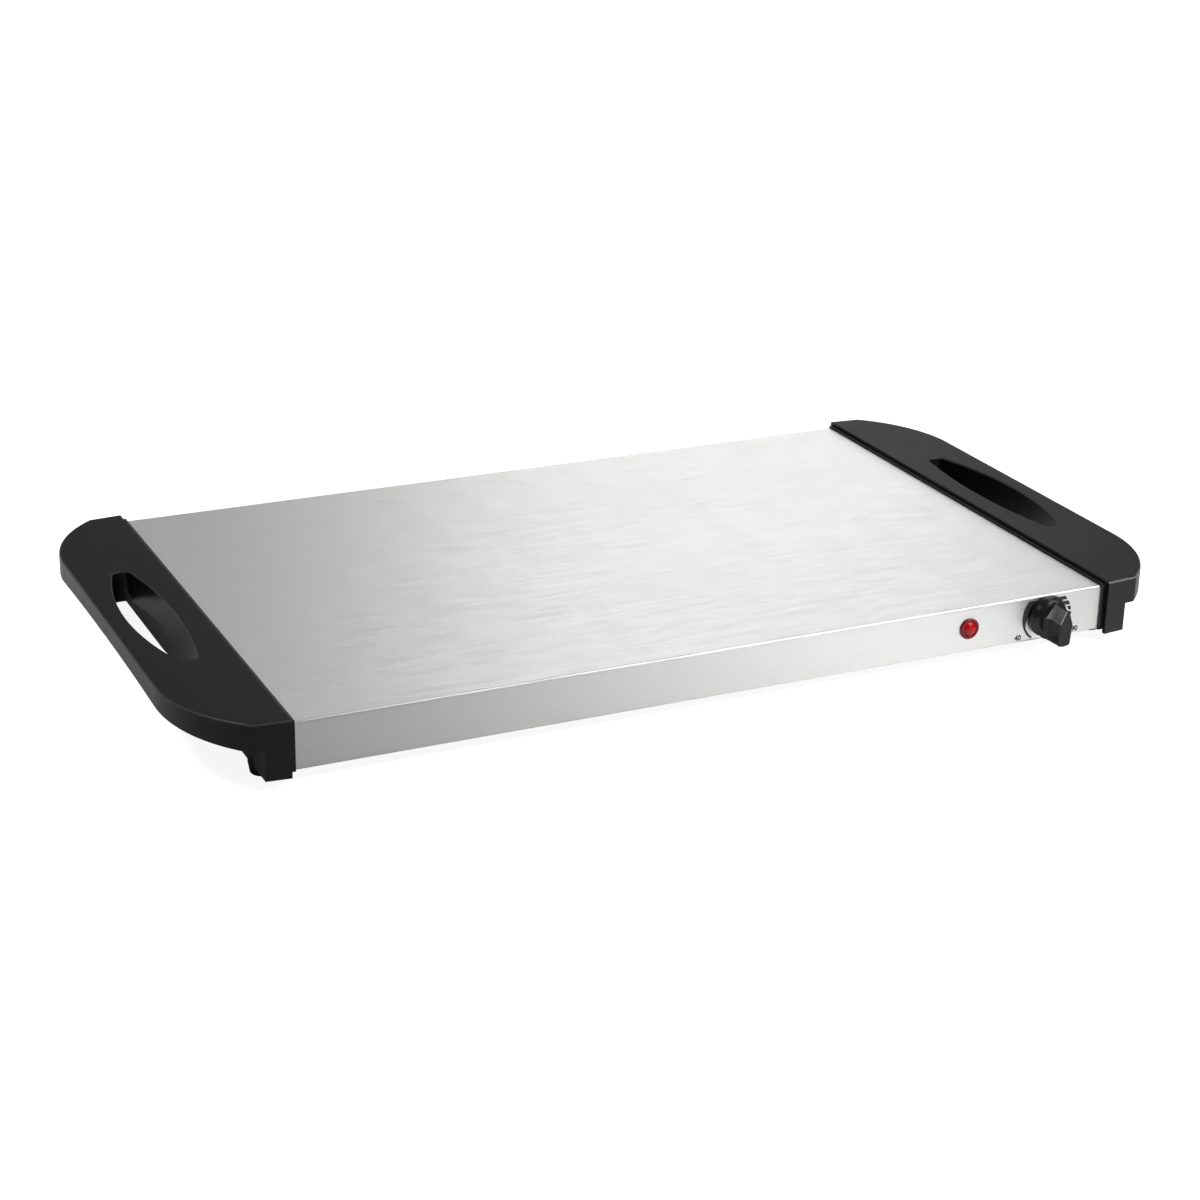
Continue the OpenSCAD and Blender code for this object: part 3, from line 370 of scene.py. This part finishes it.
def brushed_steel(steel):
    """Stainless sheet brushed along X, with the scale printed on its front."""
    finish = Finish("brushed_stainless", steel.tone, steel.roughness, 1.0)
    x, y, z = finish.axes()
    wide, narrow = steel.line_length, steel.line_width
    lines = finish.noise((wide, narrow, narrow), 3.0, 0.6)
    hairs = finish.noise((wide / 4, narrow / 3, narrow / 3), 1.0, 0.5)
    clouds = finish.noise((0.16, 0.09, 0.09), 1.0)
    mask = printed_scale(x, y, z, steel.scale_radius)
    bare = finish.shades(lines * 0.6 + hairs * 0.4, 0.07)
    finish.set("Base Color", finish.mixed(mask, bare, (*steel.ink, 1)))
    finish.set("Metallic", 1 - mask)
    finish.set("Roughness", steel.roughness - 0.06 + lines * 0.08 + clouds * 0.04 + mask * 0.12)
    finish.relief(hairs * (1 - mask), 0.00012)
    return finish.material


def printed_scale(x, y, z, radius):
    """1 where the scale's ink is: an arc that grows thicker, then blocks that shrink."""
    across = (x - KNOB_AXIS.x) / MM
    high = (z - KNOB_AXIS.z) / MM
    away = (across * across + high * high) ** 0.5
    turn = across.maths("ARCTAN2", across, high) * (180 / math.pi)
    outer = radius / MM
    on_front = (y < SHELL_LOW.y + 0.2 * MM) * (high < SCALE_CEILING)
    grown = turn + ARC_THICKENS
    thick = ARC_THIN + grown.maths("MAXIMUM", grown, 0) * ARC_GROWTH
    arc = (away < outer) * (away > outer - thick) * (turn > ARC_START) * (turn < 0)
    later = turn - BLOCKS_TAPER
    taper = BLOCK_LONG - later.maths("MAXIMUM", later, 0) * BLOCK_SHRINK
    rim = outer - BLOCK_INSET + later.maths("MAXIMUM", later, 0) * BLOCK_DRIFT
    blocks = (away < rim) * (away > rim - taper) * (turn > 0) * (turn < BLOCKS_END)
    for gap in BLOCK_GAPS:
        blocks = (abs(high - gap) > HALF_GAP) * blocks
    return on_front * arc.maths("MAXIMUM", arc, blocks)


class Plastic(Finish):
    """Black moulding with fine grain."""

    def __init__(self, name, tone, roughness, grain, specular=0.4):
        super().__init__(name, tone, roughness, **{"Specular IOR Level": specular})
        self.grain = grain
        self.fine = self.noise((grain, grain, grain), 3.0, 0.6)
        rubbed = self.noise((0.03, 0.03, 0.03), 3.0, 0.6)
        self.bare = self.shades(self.fine * 0.5 + rubbed * 0.5, 0.35)
        self.set("Base Color", self.bare)
        self.set("Roughness", roughness - 0.05 + rubbed * 0.06 + self.fine * 0.05)
        self.dent(self.fine)

    def dent(self, height):
        self.relief(height, self.grain * 0.10, 0.5)


def cap_plastic(mouldings):
    """Moulding with a matt top, glossier walls, a painted highlight of paler colour on its rounded
    top edges and a faint knit line.
    """
    finish = Plastic("cap_moulding", mouldings.cap_tone, 0.5, mouldings.grain, 0.12)
    x, y, z = finish.axes()
    rim = abs(x) > SHELL_HIGH.x + RIM_START
    finish.dent(finish.fine - (abs(y - MIDDLE_Y) < HALF_KNIT_LINE) * rim * 1.5)
    # Painted highlight: a band just below the top, on the rounded edges, gets a paler colour in
    # place of the light it catches.
    edge = (z < CAP_TOP - HIGHLIGHT_BAND_HIGH) * (z > CAP_TOP - HIGHLIGHT_BAND_LOW)
    finish.set("Base Color", finish.mixed(edge, finish.bare, (*mouldings.edge_highlight_tone, 1)))
    finish.set("Coat Weight", (z < CAP_TOP - COAT_HIGH) * 0.5)
    finish.set("Coat Roughness", 0.22)
    return finish.material


def knob_plastic(mouldings):
    """Moulding with a painted highlight of paler grey on the blade's upper flanks and a pale line
    where they meet the front face.
    """
    finish = Plastic("knob_moulding", mouldings.knob_tone, 0.27, mouldings.grain / 2, 0.3)
    _, y, z = finish.axes()
    high = (z - KNOB_AXIS.z) / MM
    back = (y - KNOB_FRONT) / MM - (BLADE_TOP - high) * BLADE_LEAN
    flank = (high > FLANK_LOW) * (high < FLANK_HIGH) * (back > FLANK_START)
    # Painted highlight: the upper flanks get a paler grey in place of the light they reflect.
    painted = finish.mixed(flank * (back < FLANK_END), finish.bare, (*mouldings.flank_highlight_tone, 1))
    # A pale line where the upper flanks meet the blade's front face.
    line = flank * (back < LINE_END)
    finish.set("Base Color", finish.mixed(line, painted, (*mouldings.front_line_tone, 1)))
    return finish.material


def rubber(name, tone):
    """Matt rubber with a dusty bloom."""
    finish = Finish(name, tone, 0.75, **{"Specular IOR Level": 0.25})
    dust = finish.noise((0.004, 0.004, 0.004), 4.0, 0.6)
    finish.set("Base Color", finish.shades(dust, 0.4))
    finish.relief(finish.noise((0.0006, 0.0006, 0.0006), 2.0), 0.00004, 0.5)
    return finish.material


def sleeve(name, tone, rib):
    """Woven or extruded sleeve of a lead."""
    finish = Finish(name, tone, 0.5)
    weave = finish.noise((rib, rib, rib), 2.0, 0.7)
    finish.set("Base Color", finish.shades(weave, 0.16))
    finish.relief(weave, 0.00006, 0.6)
    return finish.material


def rolled_metal(name, tone, roughness, stretch, spread):
    """Plain metal with faint rolling or turning marks."""
    finish = Finish(name, tone, roughness, 1.0)
    marks = finish.noise(stretch, 3.0, 0.6)
    haze = finish.noise((0.02, 0.02, 0.02), 2.0)
    finish.set("Base Color", finish.shades(marks * 0.5 + haze * 0.5, spread))
    finish.set("Roughness", roughness - 0.06 + marks * 0.12)
    finish.relief(marks, 0.00001, 0.6)
    return finish.material


def galvanised_sheet():
    """Zinc coated sheet with its spangle."""
    finish = Finish("galvanised_sheet", (0.42, 0.43, 0.44), 0.42, 1.0)
    spangle = finish.cells(160.0)
    haze = finish.noise((0.05, 0.05, 0.05), 3.0)
    finish.set("Base Color", finish.shades(spangle * 0.7 + haze * 0.3, 0.20))
    finish.set("Roughness", 0.34 + spangle * 0.16)
    finish.relief(haze, 0.0002, 0.3)
    return finish.material


def mica_sheet():
    """Pressed flakes in a pale brown sheet."""
    finish = Finish("mica_sheet", (0.50, 0.41, 0.27), 0.38)
    flakes = finish.cells(420.0)
    finish.set("Base Color", finish.shades(flakes, 0.30))
    finish.set("Roughness", 0.28 + flakes * 0.25)
    finish.relief(flakes, 0.00005, 0.4)
    return finish.material


def glass_felt():
    """Needled white felt."""
    finish = Finish("glass_felt", (0.80, 0.78, 0.70), 0.95, **{"Specular IOR Level": 0.1})
    fibres = finish.noise((0.006, 0.0007, 0.0007), 4.0, 0.7)
    tufts = finish.noise((0.004, 0.004, 0.002), 4.0, 0.6)
    finish.set("Base Color", finish.shades(fibres * 0.5 + tufts * 0.5, 0.18))
    finish.relief(fibres + tufts, 0.0005, 0.7)
    return finish.material


def ceramic():
    """Unglazed white ceramic."""
    finish = Finish("white_ceramic", (0.76, 0.73, 0.66), 0.62)
    specks = finish.noise((0.0007, 0.0007, 0.0007), 3.0, 0.6)
    finish.set("Base Color", finish.shades(specks, 0.10))
    finish.relief(specks, 0.00005, 0.5)
    return finish.material


def red_lens(lamp):
    """Translucent red plastic over the lamp."""
    finish = Finish(
        "red_lens",
        lamp.tone,
        0.2,
        **{"IOR": 1.35, "Coat Weight": 0.12, "Coat Roughness": 0.06, "Transmission Weight": 0.1}
    )
    ripple = finish.noise((0.0012, 0.0012, 0.0012), 2.0)
    x, _, z = finish.axes()
    across = (x - LENS_CENTRE.x) / MM
    high = (z - LENS_CENTRE.z) / MM
    rim = (across * across + high * high) ** 0.5 > LENS_RIM
    finish.set("Base Color", finish.mixed(rim, finish.shades(ripple, 0.22), (*lamp.rim_tone, 1)))
    finish.set("Roughness", 0.13 + ripple * 0.1)
    finish.relief(ripple, 0.00003, 0.4)
    return finish.material


def bulb_glass():
    """Clear glass round the lamp's gas."""
    finish = Finish(
        "bulb_glass", (0.95, 0.85, 0.80), 0.05, **{"Transmission Weight": 0.9, "IOR": 1.5}
    )
    haze = finish.noise((0.003, 0.003, 0.003), 1.0)
    finish.set("Base Color", finish.shades(haze, 0.05))
    finish.set("Roughness", 0.03 + haze * 0.06)
    return finish.material


def ink(tone):
    """Black screen print."""
    finish = Finish("scale_ink", tone, 0.45)
    specks = finish.noise((0.0004, 0.0004, 0.0004), 2.0)
    finish.set("Base Color", finish.shades(specks, 0.5))
    finish.set("Roughness", 0.40 + specks * 0.1)
    return finish.material


# ---------------------------------------------------------------- modelling


def dress(obj, material):
    """Gives an object one material, in every slot that it has."""
    if not obj.data.materials:
        obj.data.materials.append(material)
    for i in range(len(obj.data.materials)):
        obj.data.materials[i] = material


def dress_nodes(material, *names):
    for name in names:
        dress(NODES[name], material)


def only(obj):
    """Makes obj the one selected object."""
    bpy.ops.object.select_all(action="DESELECT")
    obj.select_set(True)
    bpy.context.view_layer.objects.active = obj


def merged_copy(node, name):
    """A copy of a CAD node's mesh with its loose triangles joined."""
    piece = bpy.data.objects.new(name, NODES[node].data.copy())
    bpy.context.scene.collection.objects.link(piece)
    only(piece)
    if piece.data.has_custom_normals:
        bpy.ops.mesh.customdata_custom_splitnormals_clear()
    bpy.ops.object.mode_set(mode="EDIT")
    bpy.ops.mesh.select_all(action="SELECT")
    bpy.ops.mesh.remove_doubles(threshold=2e-6)
    bpy.ops.mesh.dissolve_limited(angle_limit=math.radians(0.3))
    bpy.ops.object.mode_set(mode="OBJECT")
    return piece


def softened(piece, width=0, segments=0, angle=30.0, smooth=38.0):
    """Rounds the sharp edges, if a width is given, and smooths the rest but keeps flats flat."""
    only(piece)
    if width:
        bevel = piece.modifiers.new("edges", "BEVEL")
        bevel.width = width
        bevel.segments = segments
        bevel.limit_method = "ANGLE"
        bevel.angle_limit = math.radians(angle)
        bevel.use_clamp_overlap = True
        bpy.ops.object.modifier_apply(modifier=bevel.name)
    bpy.ops.object.shade_smooth_by_angle(angle=math.radians(smooth))
    flat = piece.modifiers.new("face normals", "WEIGHTED_NORMAL")
    flat.keep_sharp = True
    flat.weight = 90
    bpy.ops.object.modifier_apply(modifier=flat.name)


# ---------------------------------------------------------------- pieces


class WARMER_OT_shell(bpy.types.Operator):
    """Brushed steel shell with its printed scale."""

    bl_idname = "warmer.shell"
    bl_label = "Brushed shell"

    def execute(self, context):
        dress_nodes(brushed_steel(context.scene.warmer.steel), "top_shell")
        return {"FINISHED"}


class WARMER_OT_scale_numbers(bpy.types.Operator):
    """Printed numbers at both ends of the scale."""

    bl_idname = "warmer.scale_numbers"
    bl_label = "Scale numbers"

    def execute(self, context):
        material = ink(context.scene.warmer.steel.ink)
        for name, figure, x in SCALE_NUMBERS:
            bpy.ops.object.select_all(action="DESELECT")
            bpy.ops.object.text_add(
                location=(KNOB_AXIS.x + x * MM, SHELL_LOW.y, KNOB_AXIS.z - NUMBER_DROP * MM),
                rotation=(math.pi / 2, 0, 0),
            )
            number = context.object
            number.name = name
            number.data.body = figure
            number.data.size = NUMBER_SIZE * MM
            number.data.align_x = "CENTER"
            number.data.align_y = "CENTER"
            number.data.extrude = NUMBER_PROUD * MM
            number.data.offset = NUMBER_BOLD * MM
            bpy.ops.object.convert(target="MESH")
            bpy.ops.object.transform_apply(location=True, rotation=True, scale=True)
            dress(number, material)
            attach(number, "tray")
        return {"FINISHED"}


class WARMER_OT_end_caps(bpy.types.Operator):
    """Moulded end caps with smooth curves."""

    bl_idname = "warmer.end_caps"
    bl_label = "End caps"

    def execute(self, context):
        mouldings = context.scene.warmer.mouldings
        material = cap_plastic(mouldings)
        for side in ("left", "right"):
            cap = merged_copy(f"{side}_end_cap", f"{side}_cap_moulding")
            self.deepen_grip(cap, mouldings.grip_depth)
            softened(cap)
            dress(cap, material)
            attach(cap, "tray")
            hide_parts(f"{side}_end_cap")
        return {"FINISHED"}

    def deepen_grip(self, cap, depth):
        """Lowers the wall round the grip opening, inside the rim."""
        mesh = cap.data
        for group in (mesh.polygons, mesh.edges, mesh.vertices):
            for part in group:
                part.select = False
        found = 0
        for vertex in mesh.vertices:
            x, y, z = vertex.co
            inside = abs(y - MIDDLE_Y) < GRIP_REACH and GRIP_LOW < abs(x) < GRIP_HIGH
            if inside and ARCH_LOW < z < ARCH_HIGH:
                vertex.select = True
                found += 1
        if not found:
            raise RuntimeError("no wall found round the grip opening")
        only(cap)
        bpy.ops.object.mode_set(mode="EDIT")
        bpy.ops.mesh.select_mode(type="VERT")
        bpy.ops.transform.translate(value=(0, 0, -depth))
        bpy.ops.object.mode_set(mode="OBJECT")


class WARMER_OT_feet(bpy.types.Operator):
    """Rubber feet with softened edges."""

    bl_idname = "warmer.feet"
    bl_label = "Feet"

    def execute(self, context):
        feet = merged_copy("feet", "rubber_feet")
        softened(feet, 0.3 * MM, 3)
        dress(feet, rubber("foot_rubber", (0.012, 0.012, 0.012)))
        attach(feet, "tray")
        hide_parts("feet")
        return {"FINISHED"}


class WARMER_OT_knob(bpy.types.Operator):
    """Control knob with softened edges."""

    bl_idname = "warmer.knob"
    bl_label = "Knob"

    def execute(self, context):
        mouldings = context.scene.warmer.mouldings
        knob = merged_copy("knob", "control_knob_moulding")
        softened(knob, 0.25 * MM, 3, 25.0, 40.0)
        dress(knob, knob_plastic(mouldings))
        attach(knob, "control_knob")
        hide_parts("knob")
        return {"FINISHED"}


class WARMER_OT_lamp(bpy.types.Operator):
    """Lens and bulb of the pilot lamp."""

    bl_idname = "warmer.lamp"
    bl_label = "Pilot lamp"

    def execute(self, context):
        lens = merged_copy("pilot_lens", "lamp_lens")
        softened(lens)
        dress(lens, red_lens(context.scene.warmer.lamp))
        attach(lens, "tray")
        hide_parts("pilot_lens")
        dress_nodes(bulb_glass(), "neon_bulb")
        return {"FINISHED"}


class WARMER_OT_inside(bpy.types.Operator):
    """Finishes of the heating stack, thermostat, base, wiring and fasteners."""

    bl_idname = "warmer.inside"
    bl_label = "Inside and underside"

    def execute(self, context):
        grain = context.scene.warmer.mouldings.grain
        moulding = Plastic("inlet_moulding", (0.012, 0.012, 0.013), 0.42, grain).material
        dress_nodes(moulding, "lamp_housing", "inlet_housing")
        dress_nodes(mica_sheet(), "upper_mica_sheet", "lower_mica_sheet")
        dress_nodes(glass_felt(), "insulation_felt")
        dress_nodes(ceramic(), "thermostat_stack", "terminal_block", "thermal_cutout")
        dress_nodes(
            galvanised_sheet(), "pressure_plate", "base_plate", "thermostat_bracket", "cutout_clip"
        )
        for *look, names in METALS:
            dress_nodes(rolled_metal(*look), *names)
        for *look, names in SLEEVES:
            dress_nodes(sleeve(*look), *names)
        return {"FINISHED"}


# ---------------------------------------------------------------- studio


def shown_white(finish, shine, mirrored):
    """Shader that keeps shadows, looks white to the camera and pale in metal and glass."""
    tree = finish.tree
    path = tree.nodes.new("ShaderNodeLightPath")
    camera, glossy, through = (
        Signal(path.outputs[name])
        for name in ("Is Camera Ray", "Is Glossy Ray", "Is Transmission Ray")
    )
    seen = camera * shine + glossy.maths("MAXIMUM", glossy, through) * mirrored
    glow = finish.node("ShaderNodeEmission", None, {"Color": (1, 1, 1, 1), "Strength": seen})
    both = finish.node("ShaderNodeAddShader")
    joint = both.socket.node
    tree.links.new(finish.shader.outputs[0], joint.inputs[0])
    tree.links.new(glow.socket, joint.inputs[1])
    tree.links.new(both.socket, tree.nodes["Material Output"].inputs["Surface"])


def hung(name, data, position, aim):
    """A lamp at a place, pointing at another."""
    lamp = bpy.data.objects.new(name, data)
    bpy.context.scene.collection.objects.link(lamp)
    lamp.location = position
    lamp.rotation_mode = "QUATERNION"
    lamp.rotation_quaternion = (Vector(aim) - Vector(position)).to_track_quat("-Z", "Y")
    return lamp


def softbox(name, position, aim, size, brightness):
    """A rectangular lamp of a given brightness that points at a place."""
    data = bpy.data.lights.new(name, "AREA")
    data.shape = "RECTANGLE"
    data.size, data.size_y = size
    data.energy = brightness * math.pi * size[0] * size[1]
    return hung(name, data, position, aim)


def pool(name, position, aim, angle, power):
    """A soft-edged spot lamp that lights a pool on the floor."""
    data = bpy.data.lights.new(name, "SPOT")
    data.energy = power
    data.spot_size = math.radians(angle)
    data.spot_blend = 1.0
    data.shadow_soft_size = 0.2
    data.specular_factor = 0.0
    lamp = hung(name, data, position, aim)
    lamp.visible_glossy = False
    return lamp


class WARMER_OT_studio(bpy.types.Operator):
    """Floor, world, lamps and camera."""

    bl_idname = "warmer.studio"
    bl_label = "Studio"

    def execute(self, context):
        scene = context.scene
        studio = scene.warmer.studio
        bpy.ops.object.select_all(action="DESELECT")
        bpy.ops.mesh.primitive_plane_add(size=FLOOR_SIZE, location=(0, 0, 0))
        floor = context.object
        floor.name = "studio_floor"
        finish = Finish("studio_floor", studio.floor_tone, 1.0, **{"Specular IOR Level": 0.0})
        shown_white(finish, FLOOR_GLOW, FLOOR_MIRRORED)
        dress(floor, finish.material)

        world = bpy.data.worlds.new("studio_air")
        scene.world = world
        world.use_nodes = True
        tree = world.node_tree
        air = tree.nodes["Background"]
        air.inputs["Color"].default_value = (1, 1, 1, 1)
        path = tree.nodes.new("ShaderNodeLightPath")
        seen = Signal(path.outputs["Is Camera Ray"])
        feed(air.inputs["Strength"], AIR_LIGHT + seen * AIR_SHOWN)

        for lamp in SOFTBOXES:
            softbox(*lamp)
        for lamp in POOLS:
            pool(*lamp)

        camera = bpy.data.cameras.new("photo_camera")
        camera.lens = studio.focal_length
        camera.sensor_width = 36
        camera.clip_start = 0.05
        holder = bpy.data.objects.new("photo_camera", camera)
        scene.collection.objects.link(holder)
        yaw, pitch, roll = (math.radians(angle) for angle in CAMERA_TURN)
        ahead = Vector(
            (math.sin(yaw) * math.cos(pitch), math.cos(yaw) * math.cos(pitch), -math.sin(pitch))
        )
        level = Vector((math.cos(yaw), -math.sin(yaw), 0))
        upward = level.cross(ahead)
        right = level * math.cos(roll) + upward * math.sin(roll)
        up = upward * math.cos(roll) - level * math.sin(roll)
        turned = Matrix((right, up, -ahead)).transposed().to_4x4()
        holder.matrix_world = Matrix.Translation(CAMERA_PLACE) @ turned
        scene.camera = holder
        scene.view_settings.view_transform = "Standard"
        return {"FINISHED"}


# ---------------------------------------------------------------- panel

PIECES = (
    WARMER_OT_studio,
    WARMER_OT_shell,
    WARMER_OT_scale_numbers,
    WARMER_OT_end_caps,
    WARMER_OT_feet,
    WARMER_OT_knob,
    WARMER_OT_lamp,
    WARMER_OT_inside,
)
GROUPS = (SteelSettings, MouldingSettings, LampSettings, StudioSettings, TraySettings)


class WARMER_PT_panel(bpy.types.Panel):
    """Lists the pieces of the tray and their settings."""

    bl_idname = "WARMER_PT_panel"
    bl_label = "Food warmer tray"
    bl_space_type = "VIEW_3D"
    bl_region_type = "UI"
    bl_category = "Warmer"

    def draw(self, context):
        for group in ("steel", "mouldings", "lamp", "studio"):
            settings = getattr(context.scene.warmer, group)
            column = self.layout.box().column()
            column.label(text=group.capitalize())
            for name in settings.__annotations__:
                column.prop(settings, name)
        for piece in PIECES:
            self.layout.operator(piece.bl_idname)


def register():
    for made in (*GROUPS, *PIECES, WARMER_PT_panel):
        bpy.utils.register_class(made)
    bpy.types.Scene.warmer = bpy.props.PointerProperty(
        type=TraySettings, name="Warmer", description="Settings of the food warmer tray"
    )


def unregister():
    del bpy.types.Scene.warmer
    for made in reversed((*GROUPS, *PIECES, WARMER_PT_panel)):
        bpy.utils.unregister_class(made)


def main():
    register()
    for piece in PIECES:
        group, name = piece.bl_idname.split(".")
        getattr(getattr(bpy.ops, group), name)()


if __name__ == "__main__":
    main()
